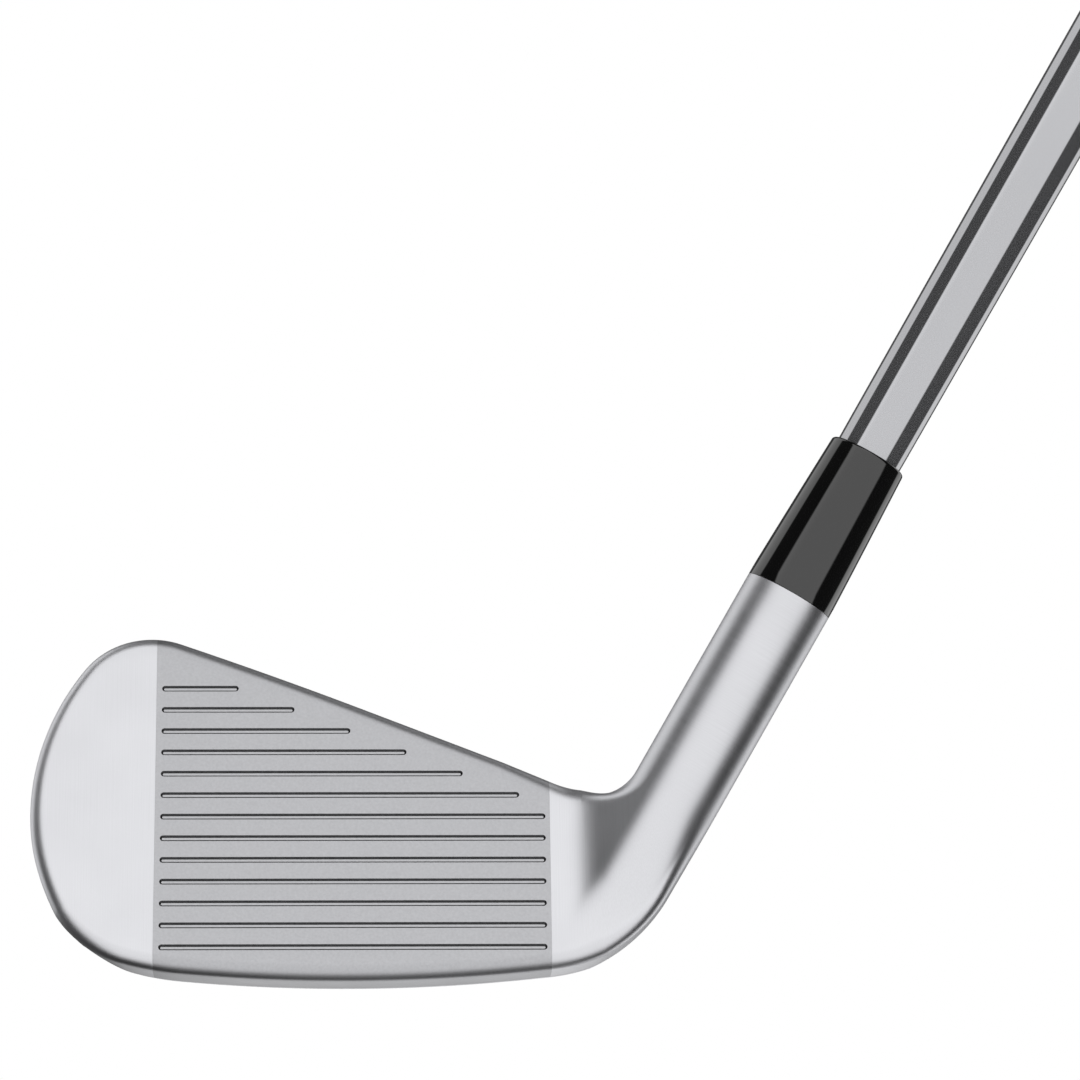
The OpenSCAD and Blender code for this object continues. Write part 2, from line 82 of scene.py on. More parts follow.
# Section of the blade
TOP_THICKNESS = 6.0
SOLE_DEPTH = 17.0
MUSCLE_LOW, MUSCLE_HIGH = 14.0, 25.0
LEAD_R, TRAIL_R = 1.6, 3.0
TOP_FRONT_R, TOP_BACK_R = 2.1, 1.6
CROTCH_FRONT_R, CROTCH_ROLL_X, CROTCH_ROLL = 3.6, -7.0, 12.0
SOLE_LIFT = 1.5
BOUNCE = math.radians(2.0)
TOE_RISE, TOE_RISE_SPAN = math.radians(6.0), math.radians(80.0)
CAMBER = 0.8

# Face plate, the blasted finish round it, and the score lines
PLATE_TOE_X, PLATE_HEEL_X = -57.93, -2.07
PLATE_THICKNESS = 2.4
BLASTED_DEPTH, BLASTED_RIM, BLASTED_HEIGHT = 9.0, 2.6, 9.0
LINE_COUNT = 13
LINE_PITCH = 3.4
LINE_FIRST = 6.02
LINE_WIDTH = 0.90
LINE_DEPTH = 0.27
LINE_FLOOR = 0.38
LINE_TOE_MARGIN, LINE_HEEL_MARGIN = 0.78, 0.62
LINE_END_X, LINE_END_W, LINE_END_SLOPE = -2.1, 28.0, math.radians(23.1)

# Ferrule, shaft, grip and band; distances run along the axis from the ground
FERRULE_LENGTH = 23.2
FERRULE_TOP_R = 5.75
TIP_ALONG = 33.0
TIP_R = 4.51
NECK_ALONG = 89.4
NECK_R = 4.965
FIRST_STEP, STEP_PITCH, STEP_COUNT = 240.0, 31.75, 13
FIRST_STEP_R, BUTT_R = 5.68, 7.62
CLUB_LENGTH = 978.0
GRIP_LENGTH = 267.0
GRIP_MOUTH_R, GRIP_BUTT_R = 9.8, 12.9
CAP_HEIGHT, CAP_FLOOR, VENT_R = 8.0, 4.5, 2.0
SHAFT_END = CLUB_LENGTH - CAP_FLOOR
TAPE_R = BUTT_R + 0.35
BAND_ALONG, BAND_LENGTH, BAND_THICKNESS = 686.0, 16.0, 0.12

# Hollows of the head and the small pieces that sit in them
GAP = 0.02
BORE_R, BORE_DEPTH = 4.95, 31.6
CAVITY = [(-55, 2), (-6, 2), (-6, 28), (-50, 47), (-59, 48),
          (-66, 42), (-67, 30), (-63, 16), (-63, 12.5)]
CAVITY_WALL, MUSCLE_WALL, CAVITY_FLOOR = 2.4, 4.0, 4.5
KNEE_HEIGHT, KNEE_DEPTH = 0.55, 0.7  # shares of the way from the muscle to the thin upper half
WEIGHT_X, WEIGHT_W, WEIGHT_Q, WEIGHT_R, WEIGHT_LENGTH = -66.0, 14.0, 8.0, 3.5, 18.0
PORT_X, PORT_W, PORT_HEAD_R, PORT_HEAD_H, PORT_R, PORT_DEPTH = -24.0, 12.6, 2.5, 1.4, 1.75, 6.0
SLOT_TOE_X, SLOT_HEEL_X, SLOT_DEPTH, SLOT_WIDTH, SLOT_TOP = -50.0, -11.0, 11.3, 2.2, 7.2
SLOT_BAR = 10.0
BADGE = [(-61, 28.5), (-19, 28.5), (-19, 29.5), (-53, 44), (-60, 43.5)]
BADGE_ROUND, BADGE_RECESS, BADGE_THICKNESS = 2.0, 0.8, 0.45
PAST = 3.0  # how far a cutter stands out past the surface that it opens
MIDDLE_R = 0.001  # radius of the ring at the middle of a flat end

AXIS = np.array([math.cos(LIE), 0.0, math.sin(LIE)])
AXIS_LEFT = np.array([-math.sin(LIE), 0.0, math.cos(LIE)])
PIVOT = TURN_ALONG * AXIS + (HOSEL_R + CROTCH_R) * AXIS_LEFT
HEEL_CENTRE = HEEL_ALONG * AXIS + (HEEL_R - HOSEL_R) * AXIS_LEFT


def to_row(points):
    """Head coordinates in millimetres to the row frame in metres."""
    return (np.asarray(points, float) - SOLE_POINT) * MM


# ----------------------------------------
# Outline of the blade in the plane of the face: rows of x, height, heading
# ----------------------------------------
def stretch(start, radius, sweep, steps):
    """Rows of an arc, or of a straight run as long as the radius where the sweep is 0."""
    x, w, heading = start
    rows = []
    for i in range(1, steps + 1):
        part = i / steps
        if sweep == 0:
            rows.append((x + math.cos(heading) * radius * part,
                         w + math.sin(heading) * radius * part, heading))
            continue
        a = sweep * part
        side = math.copysign(radius, sweep)
        rows.append((x + side * (math.sin(heading + a) - math.sin(heading)),
                     w + side * (math.cos(heading) - math.cos(heading + a)), heading + a))
    return rows


def walk(start, stretches):
    """Rows of stretches of radius, sweep and steps, each going on where the last one ends."""
    rows = [start]
    for radius, sweep, steps in stretches:
        rows += stretch(rows[-1], radius, sweep, steps)
    return np.array(rows)


def outline():
    """Top run from the crotch to the toe end and low run from the toe end to the heel."""
    heading = math.pi + FAN_START
    start = (PIVOT[0] + CROTCH_R * math.sin(FAN_START), CROTCH_HEIGHT, heading)
    to_line = math.pi - TOP_SLOPE
    toe_down = 1.5 * math.pi - (to_line + CROWN_SWEEP + TOE_HIGH_SWEEP)
    top = walk(start, [
        (CROTCH_RUN_R, to_line - heading, 16),
        (TOP_LENGTH - TOP_CROWN_R * CROWN_SWEEP, 0, 4),
        (TOP_CROWN_R, CROWN_SWEEP, 66),
        (TOE_HIGH_R, TOE_HIGH_SWEEP, 60),
        (TOE_END_R, toe_down, 40)])
    low = walk(top[-1], [
        (TOE_END_R, TOE_END_SWEEP, 30),
        (TOE_LOW_R, TOE_LOW_SWEEP, 60),
        (TOE_SOLE_R, TOE_SOLE_SWEEP, 20),
        (SOLE_R, SOLE_SWEEP, 60),
        (HEEL_R, HEEL_SWEEP, 16)])
    return top, low


# ----------------------------------------
# Section of the blade
# ----------------------------------------
FRONT_STEPS, EDGE_STEPS, BACK_STEPS = 10, 14, 10
BACK_ROWS, FACE_ROWS = 56, 30
FAN_LOOPS = 80
HOSEL_LOOPS = 8
EDGE_LAST = FRONT_STEPS + EDGE_STEPS + BACK_STEPS + 1


def mix(a, b, t):
    return a + (b - a) * t


def ease(t):
    """Goes from 0 to 1 with level ends."""
    t = np.clip(t, 0.0, 1.0)
    return t * t * (3 - 2 * t)


def back_depth(w):
    """Depth of the back at a height: a thin upper half and a thick muscle over the sole."""
    t = np.clip((w - MUSCLE_LOW) / (MUSCLE_HIGH - MUSCLE_LOW), 0.0, 1.0)
    return mix(TOP_THICKNESS, SOLE_DEPTH, 0.5 * (1 + np.cos(math.pi * t)))


def corner(point, start, end, radius, steps):
    """Rounded corner in the plane of depth and inset, turning between two headings."""
    reach = radius * math.tan((end - start) / 2)
    x, y = point[0] - reach * math.cos(start), point[1] - reach * math.sin(start)
    return [(x + radius * (math.sin(a) - math.sin(start)), y + radius * (math.cos(start) - math.cos(a)))
            for a in np.linspace(start, end, steps + 1)]


def edge_ring(row):
    """Points x, height, depth across the edge of the blade at one outline point."""
    x, w, heading = row
    up = (1 - math.cos(heading)) / 2
    down = 1 - up
    lift = SOLE_LIFT * down ** 3
    round_toe = np.clip((heading - 1.5 * math.pi) / TOE_RISE_SPAN, 0, 1)
    slope = (LOFT - BOUNCE) * down ** 1.5 + TOE_RISE * math.sin(math.pi * round_toe) ** 2
    depth = float(back_depth(w + math.cos(heading) * TRAIL_R))
    top_r = mix(TOP_FRONT_R, CROTCH_FRONT_R, ease((x - CROTCH_ROLL_X) / CROTCH_ROLL))
    front = corner((0, lift), -math.pi / 2, slope, mix(LEAD_R, top_r, up), FRONT_STEPS)
    back = corner((depth, lift + depth * math.tan(slope)), slope, math.pi / 2,
                  mix(TRAIL_R, TOP_BACK_R, up), BACK_STEPS)
    a, b = np.array(front[-1]), np.array(back[0])
    middle = [tuple(mix(a, b, i / (EDGE_STEPS + 1))) for i in range(1, EDGE_STEPS + 1)]
    rows = []
    for q, inset in front + middle + back:
        share = q / depth
        inset -= 4 * CAMBER * down ** 2 * share * (1 - share)
        rows.append((x - inset * math.sin(heading), w + inset * math.cos(heading), q))
    return np.array(rows)


def from_face(rows):
    """x, height, depth to head coordinates."""
    x, w, q = rows[:, 0], rows[:, 1], rows[:, 2]
    return np.stack([x, w * math.sin(LOFT) + q * math.cos(LOFT), w * math.cos(LOFT) - q * math.sin(LOFT)], 1)


def blade_loop(top_row, low_row):
    """Closed section of the blade between a row of the top run and one of the low run."""
    top, low = edge_ring(top_row), edge_ring(low_row)
    back_t = np.arange(1, BACK_ROWS + 1)[:, None] / (BACK_ROWS + 1)
    back = mix(top[-1], low[-1], back_t)
    back[:, 2] = back_depth(back[:, 1])
    face_t = np.arange(1, FACE_ROWS + 1)[:, None] / (FACE_ROWS + 1)
    face = mix(low[0], top[0], face_t)
    return from_face(np.concatenate([top, back, low[::-1], face]))


# ----------------------------------------
# Turn from the blade to the hosel: planes that fan out from the crotch centre
# ----------------------------------------
def hosel_angles():
    """Angle round the hosel of each point of a section."""
    quarter = math.pi / 4
    top = np.linspace(-quarter, quarter, EDGE_LAST + 1)
    back = np.linspace(quarter, 3 * quarter, BACK_ROWS + 2)[1:-1]
    low = np.linspace(3 * quarter, 5 * quarter, EDGE_LAST + 1)
    face = np.linspace(5 * quarter, 7 * quarter, FACE_ROWS + 2)[1:-1]
    return np.concatenate([top, back, low, face])


ANGLES = hosel_angles()
FLATTEST = 1.2  # radians; keeps the distance along a ray finite where it would miss the hosel


def heel_edge(fan):
    """Distance from the crotch centre to the heel's outline, and how squarely a ray meets it."""
    tangent = HEEL_CENTRE - HEEL_R * AXIS_LEFT
    tangent_fan = math.atan2(tangent[0] - PIVOT[0], PIVOT[2] - tangent[2])
    e = PIVOT - HEEL_CENTRE
    b = np.sin(fan) * e[0] - np.cos(fan) * e[2]
    arc = -b + np.sqrt(np.maximum(b * b - e @ e + HEEL_R ** 2, 0))
    square = np.cos(np.minimum(LIE - fan, FLATTEST))
    on_arc = fan < tangent_fan
    return (np.where(on_arc, arc, (CROTCH_R + 2 * HOSEL_R) / square),
            np.where(on_arc, (arc + b) / HEEL_R, square))


def front_rise(x, z):
    """How far the front stands ahead of the face plane where the hosel grows out of it."""
    plane = z * math.tan(LOFT)
    left = z * math.cos(LIE) - x * math.sin(LIE)
    flank = math.sin(FLANK_ANGLE) * HOSEL_R
    barrel = AXIS_Y - np.sqrt(HOSEL_R ** 2 - np.clip(left, 0, flank) ** 2)
    barrel = barrel + math.tan(FLANK_ANGLE) * np.maximum(left - flank, 0)
    near = np.maximum(HOSEL_BLEND - np.abs(plane - barrel), 0) / HOSEL_BLEND
    front = np.minimum(plane, barrel) - near ** 2 * HOSEL_BLEND / 4
    return (plane - front) * ease((x - PLATE_HEEL_X) / BLEND_START)


def ring_weight():
    """1 on the face, 0 on the back, changing smoothly over the top and bottom edges."""
    over = (1 + np.cos(np.linspace(0, math.pi, EDGE_LAST + 1))) / 2
    return np.concatenate([over, np.zeros(BACK_ROWS), over[::-1], np.ones(FACE_ROWS)])


FRONT = ring_weight()
TOP_RING = slice(0, EDGE_LAST + 1)
LOW_RING = slice(EDGE_LAST + 1 + BACK_ROWS, 2 * EDGE_LAST + 2 + BACK_ROWS)
FACE_SPAN = slice(2 * EDGE_LAST + 2 + BACK_ROWS, None)
LAST_LOW = 2 * EDGE_LAST + 1 + BACK_ROWS


def low_share():
    """0 at the crotch, 1 at the heel, for each loop point."""
    span = (1 - np.cos(ANGLES) / math.cos(math.pi / 4)) / 2
    return np.clip(span, 0, 1)


LOW = low_share()


def fan_loop(first, t):
    """Section between the blade's first one, at 0, and the round foot of the hosel, at 1."""
    dx, dz = first[:, 0] - PIVOT[0], first[:, 2] - PIVOT[2]
    own = np.arctan2(dx, -dz)
    fan = mix(own, LIE, t)
    edge, square = heel_edge(fan)
    own_edge, _ = heel_edge(own)
    share = float(ease(t))
    from_top = HOSEL_R * (1 - np.cos(ANGLES))
    from_low = HOSEL_R * (1 + np.cos(ANGLES)) / square
    ring = 1 - math.cos(math.pi / 4)
    middle = mix(CROTCH_R + HOSEL_R * ring, edge - HOSEL_R * ring / square, LOW)
    target = np.where(LOW <= 0, CROTCH_R + from_top, np.where(LOW >= 1, edge - from_low, middle))
    blade = CROTCH_R + (np.hypot(dx, dz) - CROTCH_R) / (own_edge - CROTCH_R) * (edge - CROTCH_R)
    reach = mix(blade, target, share)
    x, z = PIVOT[0] + reach * np.sin(fan), PIVOT[2] - reach * np.cos(fan)

    inside = (edge - reach) * square
    sag_low = 1 - np.clip(inside / HOSEL_R, 0, 1)
    sag_top = 1 - np.clip((reach - CROTCH_R) / HOSEL_R, 0, 1)
    round_y = AXIS_Y + np.sign(np.sin(ANGLES)) * HOSEL_R * np.sqrt(1 - np.maximum(sag_low, sag_top) ** 2)
    circle_y = np.where((LOW <= 0) | (LOW >= 1), AXIS_Y + HOSEL_R * np.sin(ANGLES), round_y)
    y = mix(first[:, 1], circle_y, share)

    overlap = np.clip(HOSEL_R - inside, 0, HOSEL_R)
    fall = share * (HOSEL_R - np.sqrt(HOSEL_R ** 2 - overlap ** 2))
    front_y = z * math.tan(LOFT) - front_rise(x, z) + fall
    y[TOP_RING] += (front_y - y)[0] * FRONT[TOP_RING]
    y[LOW_RING] += (front_y - y)[LAST_LOW] * FRONT[LOW_RING]
    y[FACE_SPAN] = front_y[FACE_SPAN]
    return np.stack([x, y, z], 1)


def hosel_loop(along):
    """Round section of the hosel at a distance along the axis."""
    across = HOSEL_R * np.cos(ANGLES)
    points = along * AXIS + across[:, None] * AXIS_LEFT
    points[:, 1] = AXIS_Y + HOSEL_R * np.sin(ANGLES)
    return points


def toe_index(j):
    """Point of the toe end's single edge ring that a point of the last section runs to."""
    if j <= EDGE_LAST:
        return j
    if j <= EDGE_LAST + BACK_ROWS:
        return EDGE_LAST
    if j <= LAST_LOW:
        return LAST_LOW - j
    return 0


def raised(loop):
    """Blade loop whose front follows the foot of the hosel."""
    loop = loop.copy()
    loop[:, 1] -= front_rise(loop[:, 0], loop[:, 2]) * FRONT
    return loop


def head_skin():
    """Vertices and faces of the closed outer skin of the head, in head coordinates."""
    top, low = outline()
    columns = len(top) - 1
    first = blade_loop(top[0], low[columns])
    loops = [hosel_loop(a) for a in np.linspace(HOSEL_TOP, TURN_ALONG, HOSEL_LOOPS + 1)[:-1]]
    loops += [fan_loop(first, i / FAN_LOOPS) for i in range(FAN_LOOPS, 0, -1)]
    loops += [raised(blade_loop(top[i], low[columns - i])) for i in range(columns)]
    size = len(first)
    toe = from_face(edge_ring(top[columns]))
    verts = np.concatenate(loops + [toe])
    faces = []
    for i in range(len(loops) - 1):
        a, b = i * size, (i + 1) * size
        faces += [(a + j, b + j, b + (j + 1) % size, a + (j + 1) % size) for j in range(size)]
    a = (len(loops) - 1) * size
    base = len(loops) * size
    for j in range(size):
        k = (j + 1) % size
        tj, tk = base + toe_index(j), base + toe_index(k)
        faces.append((a + j, tj, a + k) if tj == tk else (a + j, tj, tk, a + k))
    faces.append(tuple(range(size)))
    return verts, faces


# ----------------------------------------
# Mesh helpers
# ----------------------------------------
def new_object(name, verts, faces, smooth=True):
    mesh = bpy.data.meshes.new(name)
    mesh.from_pydata([tuple(v) for v in verts], [], faces)
    mesh.validate()
    mesh.update()
    for polygon in mesh.polygons:
        polygon.use_smooth = smooth
    obj = bpy.data.objects.new(name, mesh)
    bpy.context.scene.collection.objects.link(obj)
    return obj


def ring_faces(a, b, n):
    """Faces between two rings of n vertices that start at vertices a and b."""
    return [(a + k, a + (k + 1) % n, b + (k + 1) % n, b + k) for k in range(n)]


def apply_modifiers(obj):
    depsgraph = bpy.context.evaluated_depsgraph_get()
    mesh = bpy.data.meshes.new_from_object(obj.evaluated_get(depsgraph))
    obj.modifiers.clear()
    obj.data = mesh


def cut(obj, cutter, operation="DIFFERENCE", keep_materials=False):
    modifier = obj.modifiers.new("cut", "BOOLEAN")
    modifier.object = cutter
    modifier.operation = operation
    modifier.solver = "EXACT"
    if keep_materials:
        modifier.material_mode = "TRANSFER"
    apply_modifiers(obj)


def remove(obj):
    mesh = obj.data
    bpy.data.objects.remove(obj)
    bpy.data.meshes.remove(mesh)


def loft(name, near, far):
    """Closed solid between two outlines of x, height, depth rows with equally many points."""
    n = len(near)
    faces = [tuple(range(n)), tuple(range(2 * n - 1, n - 1, -1))]
    faces += [(i, i + n, (i + 1) % n + n, (i + 1) % n) for i in range(n)]
    rows = np.array(list(near) + list(far), float)
    obj = new_object(name, to_row(from_face(rows)), faces, smooth=False)
    fix_normals(obj)
    return obj


def stack(name, loops, smooth):
    """Closed solid through a stack of outlines of x, height, depth with equally many points."""
    n = len(loops[0])
    verts = np.array([p for loop in loops for p in loop])
    faces = []
    for i in range(len(loops) - 1):
        faces += ring_faces(i * n, (i + 1) * n, n)
    faces += [tuple(range(n)), tuple(range(len(verts) - n, len(verts)))]
    obj = new_object(name, to_row(from_face(verts)), faces, smooth)
    fix_normals(obj)
    return obj


def prism(name, area, near, far):
    """Solid behind the face: an outline of x, height pairs between two depths."""
    return loft(name, [(x, w, near) for x, w in area], [(x, w, far) for x, w in area])


def circle(x, y, radius, steps=64):
    turn = np.linspace(0, 2 * math.pi, steps, endpoint=False)
    return [(x + radius * math.cos(a), y + radius * math.sin(a)) for a in turn]


def fix_normals(obj):
    bm = bmesh.new()
    bm.from_mesh(obj.data)
    bmesh.ops.recalc_face_normals(bm, faces=bm.faces)
    bm.to_mesh(obj.data)
    bm.free()


def rectangle(x0, x1, w0, w1):
    return [(x0, w0), (x1, w0), (x1, w1), (x0, w1)]


ON_SKIN = 2e-6  # metres from the skin within which a vertex counts as lying on it
SAME_WAY = 0.9  # least cosine between the skin's normal and the normal of the face
CLOSEST = 1e-7  # metres; keeps the weight of a vertex at the spot itself finite


def take_normals(obj, source):
    """Gives the cut piece the smooth normals of the uncut skin wherever it lies on the skin."""
    mesh, skin = obj.data, source.data
    tree = BVHTree.FromObject(source, bpy.context.evaluated_depsgraph_get())
    skin_co = np.array([v.co for v in skin.vertices])
    skin_no = np.array([v.normal for v in skin.vertices])
    cache = {}
    normals = []
    for polygon in mesh.polygons:
        for loop in polygon.loop_indices:
            v = mesh.loops[loop].vertex_index
            if v not in cache:
                spot, _, face, distance = tree.find_nearest(mesh.vertices[v].co)
                if distance > ON_SKIN:
                    cache[v] = None
                else:
                    ids = list(skin.polygons[face].vertices)
                    weight = 1 / (np.linalg.norm(skin_co[ids] - np.array(spot), axis=1) + CLOSEST)
                    cache[v] = Vector((skin_no[ids] * weight[:, None]).sum(0)).normalized()
            normal = cache[v]
            if normal is None or normal.dot(polygon.normal) < SAME_WAY:
                normal = polygon.normal
            normals.append(normal.copy())
    mesh.normals_split_custom_set(normals)


def turned(name, places, radii):
    """Closed piece round the shaft axis: one ring of radii at each place along it."""
    side = np.array([0.0, 1.0, 0.0])
    across = np.cross(AXIS, side)
    rings, segments = radii.shape
    turn = np.linspace(0, 2 * math.pi, segments, endpoint=False)
    spokes = np.cos(turn)[:, None] * across + np.sin(turn)[:, None] * side
    centre = np.array([0.0, AXIS_Y, 0.0])
    verts = np.concatenate([centre + place * AXIS + ring[:, None] * spokes
                            for place, ring in zip(places, radii)])
    faces = []
    for i in range(rings):
        faces += ring_faces(i * segments, ((i + 1) % rings) * segments, segments)
    obj = new_object(name, to_row(verts), faces)
    fix_normals(obj)
    return obj


def lathe(name, profile, segments=160):
    """Turned piece from rows of radius and distance along the axis."""
    radii = np.array([radius for radius, _ in profile])
    return turned(name, [along for _, along in profile], np.repeat(radii[:, None], segments, 1))


def crisp(obj, degrees=30):
    """Smooth shading with hard creases only where faces meet at a larger angle."""
    mesh = obj.data
    mesh.shade_smooth()
    mesh.set_sharp_from_angle(angle=math.radians(degrees))


def add_piece(obj, node):
    """Puts the mesh in the place of a CAD node and leaves it on the club's one body."""
    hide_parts(node)
    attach(obj, BODY)


# ----------------------------------------
# Materials
# ----------------------------------------
NOISE_LOW, NOISE_HIGH = 0.3, 0.7  # the range in which nearly all of a noise value lies


class Nodes:
    """Short way to write the node tree of a material or of the world."""

    def __init__(self, owner, output="ShaderNodeOutputMaterial"):
        owner.use_nodes = True
        self.owner = owner
        self.tree = owner.node_tree
        self.tree.nodes.clear()
        self.out = self.add(output)

    def add(self, kind, **settings):
        node = self.tree.nodes.new(kind)
        for key, value in settings.items():
            setattr(node, key, value)
        return node

    def link(self, a, b):
        self.tree.links.new(a, b)

    def value(self, socket, v):
        if isinstance(v, bpy.types.NodeSocket):
            self.link(v, socket)
        elif isinstance(v, tuple) and len(v) == 3 and len(socket.default_value) == 4:
            socket.default_value = (*v, 1.0)
        else:
            socket.default_value = v

    def math(self, operation, a, b=0.0, clamp=False):
        node = self.add("ShaderNodeMath", operation=operation, use_clamp=clamp)
        self.value(node.inputs[0], a)
        self.value(node.inputs[1], b)
        return node.outputs[0]

    def step(self, a, b):
        """1 where a is greater than b."""
        return self.math("GREATER_THAN", a, b)

    def object_point(self, scale=(1, 1, 1), rotation=(0, 0, 0)):
        """Point in the object's own coordinates, turned and then scaled."""
        where = self.add("ShaderNodeTexCoord").outputs["Object"]
        rotated = self.add("ShaderNodeMapping")
        rotated.inputs["Rotation"].default_value = rotation
        self.link(where, rotated.inputs["Vector"])
        scaled = self.add("ShaderNodeMapping")
        scaled.inputs["Scale"].default_value = scale
        self.link(rotated.outputs[0], scaled.inputs["Vector"])
        return scaled.outputs[0]

    def split(self, vector):
        """The three parts of a vector: X, Y and Z."""
        node = self.add("ShaderNodeSeparateXYZ")
        self.link(vector, node.inputs[0])
        return node.outputs

    def noise(self, vector, scale=1.0, detail=2.0, roughness=0.5):
        node = self.add("ShaderNodeTexNoise")
        self.link(vector, node.inputs["Vector"])
        node.inputs["Scale"].default_value = scale
        node.inputs["Detail"].default_value = detail
        node.inputs["Roughness"].default_value = roughness
        return node.outputs["Fac"]

    def spread(self, fac, low, high):
        """Noise value to a range centred on its mean."""
        node = self.add("ShaderNodeMapRange")
        self.link(fac, node.inputs["Value"])
        node.inputs["From Min"].default_value = NOISE_LOW
        node.inputs["From Max"].default_value = NOISE_HIGH
        node.inputs["To Min"].default_value = low
        node.inputs["To Max"].default_value = high
        return node.outputs[0]

    def bump(self, height, strength, distance, normal=None):
        node = self.add("ShaderNodeBump")
        node.inputs["Strength"].default_value = strength
        node.inputs["Distance"].default_value = distance
        self.link(height, node.inputs["Height"])
        if normal is not None:
            self.link(normal, node.inputs["Normal"])
        return node.outputs[0]

    def principled(self, **inputs):
        node = self.add("ShaderNodeBsdfPrincipled")
        for key, v in inputs.items():
            self.value(node.inputs[key.replace("_", " ")], v)
        self.link(node.outputs[0], self.out.inputs["Surface"])
        return node

    def mix(self, fac, a, b, kind="RGBA", blend="MIX"):
        node = self.add("ShaderNodeMix", data_type=kind, blend_type=blend)
        self.value(node.inputs["Factor"], fac)
        self.value(node.inputs["A"], a)
        self.value(node.inputs["B"], b)
        return node.outputs["Result"]

    def choose(self, fac, a, b):
        """Ends the tree in shader a where the factor is 0 and in shader b where it is 1."""
        node = self.add("ShaderNodeMixShader")
        for socket, source in zip(node.inputs, (fac, a, b)):
            self.link(source, socket)
        self.link(node.outputs[0], self.out.inputs["Surface"])

    def ramp(self, value, stops, low, high):
        """Grey level of each place between low and high, from rows of place and level."""
        node = self.add("ShaderNodeValToRGB")
        span = self.add("ShaderNodeMapRange")
        span.inputs["From Min"].default_value = low
        span.inputs["From Max"].default_value = high
        self.link(value, span.inputs["Value"])
        self.link(span.outputs[0], node.inputs["Fac"])
        elements = node.color_ramp.elements
        while len(elements) > 1:
            elements.remove(elements[-1])
        for i, (position, level) in enumerate(stops):
            share = (position - low) / (high - low)
            element = elements[0] if i == 0 else elements.new(share)
            element.position = share
            element.color = (level, level, level, 1)
        return node.outputs["Color"]


# Turns the face's up direction onto Z, and the shaft axis onto Z
FACE_TURN = (LOFT, 0.0, 0.0)
SHAFT_TURN = (0.0, -(math.pi / 2 - LIE), 0.0)
BLAST_GRAIN = 9000.0  # grains of the blasted finish per metre
BRUSH_LEAD, BRUSH_RATE = 8.0, 60.0  # mm below the hosel's foot where the brush turns, and how fast


def material_nodes(name):
    return Nodes(bpy.data.materials.new(name))


def grey(v):
    """A slightly cool grey, as the metal of the club has."""
    return (v * 0.995, v, v * 1.035)


def axis_height(along):
    """Height of a point on the shaft's axis after the turn that brings the axis onto Z."""
    point = to_row([AXIS * along + np.array([0, AXIS_Y, 0])])[0]
    return float(Vector(point) @ Vector(AXIS))


def brushed(n):
    """Brush marks that run up the face on the blade and round the axis on the hosel."""
    hair = n.noise(n.object_point((9000, 9000, 60), FACE_TURN), 1.0, 3.0)
    rings = n.noise(n.object_point((120, 120, 7000), SHAFT_TURN), 1.0, 3.0)
    along = n.split(n.object_point(rotation=SHAFT_TURN))["Z"]
    past = n.math("SUBTRACT", along, axis_height(TURN_ALONG - BRUSH_LEAD))
    return n.mix(n.math("MULTIPLY", past, BRUSH_RATE, True), hair, rings, "FLOAT")


def blasted_area(n):
    """1 where the blasted finish of the plate runs on over the rim and the leading edge."""
    place = n.split(n.object_point(rotation=FACE_TURN))
    toe, heel = to_row([[PLATE_TOE_X, 0, 0], [PLATE_HEEL_X, 0, 0]])[:, 0]
    foot = Euler(FACE_TURN).to_matrix() @ Vector(to_row([[0, 0, 0]])[0])
    inside = n.math("MULTIPLY", n.step(place["X"], toe), n.step(heel, place["X"]))
    rim = n.step(foot.y + BLASTED_RIM * MM, place["Y"])
    front = n.step(foot.y + BLASTED_DEPTH * MM, place["Y"])
    low = n.step(foot.z + BLASTED_HEIGHT * MM, place["Z"])
    return n.math("MULTIPLY", inside, n.math("MAXIMUM", rim, n.math("MULTIPLY", front, low)))


def satin_steel():
    n = material_nodes("satin_steel")
    brush = brushed(n)
    cloud = n.noise(n.object_point((90, 90, 90)), 1.0, 4.0)
    rough = n.math("ADD", n.spread(brush, -0.03, 0.03), n.spread(cloud, 0.38, 0.42))
    tone = n.mix(n.spread(brush, 0.0, 1.0), grey(0.86), grey(0.92))
    grain = n.noise(n.object_point(), BLAST_GRAIN, 2.0, 0.6)
    dull = n.mix(n.spread(grain, 0.0, 1.0), grey(0.56), grey(0.62))
    n.principled(Base_Color=n.mix(blasted_area(n), tone, dull), Metallic=1.0, Roughness=rough,
                 Normal=n.bump(brush, 0.06, 0.00003))
    return n.owner


def blasted_steel():
    n = material_nodes("blasted_steel")
    grain = n.noise(n.object_point(), BLAST_GRAIN, 2.0, 0.6)
    coarse = n.noise(n.object_point(), 2600.0, 3.0, 0.6)
    tone = n.mix(n.spread(coarse, 0.0, 1.0), grey(0.58), grey(0.64))
    rough = n.spread(grain, 0.36, 0.46)
    n.principled(Base_Color=tone, Metallic=1.0, Roughness=rough,
                 Normal=n.bump(grain, 0.25, 0.00002, n.bump(coarse, 0.2, 0.00004)))
    return n.owner


def chrome():
    n = material_nodes("shaft_chrome")
    film = n.noise(n.object_point((40, 40, 12), SHAFT_TURN), 1.0, 3.0)
    lines = n.noise(n.object_point((15, 15, 2500), SHAFT_TURN), 1.0, 2.0)
    n.principled(Base_Color=n.mix(n.spread(film, 0, 1), grey(0.57), grey(0.61)), Metallic=0.9,
                 Roughness=n.spread(film, 0.035, 0.06), Normal=n.bump(lines, 0.02, 0.00001))
    return n.owner


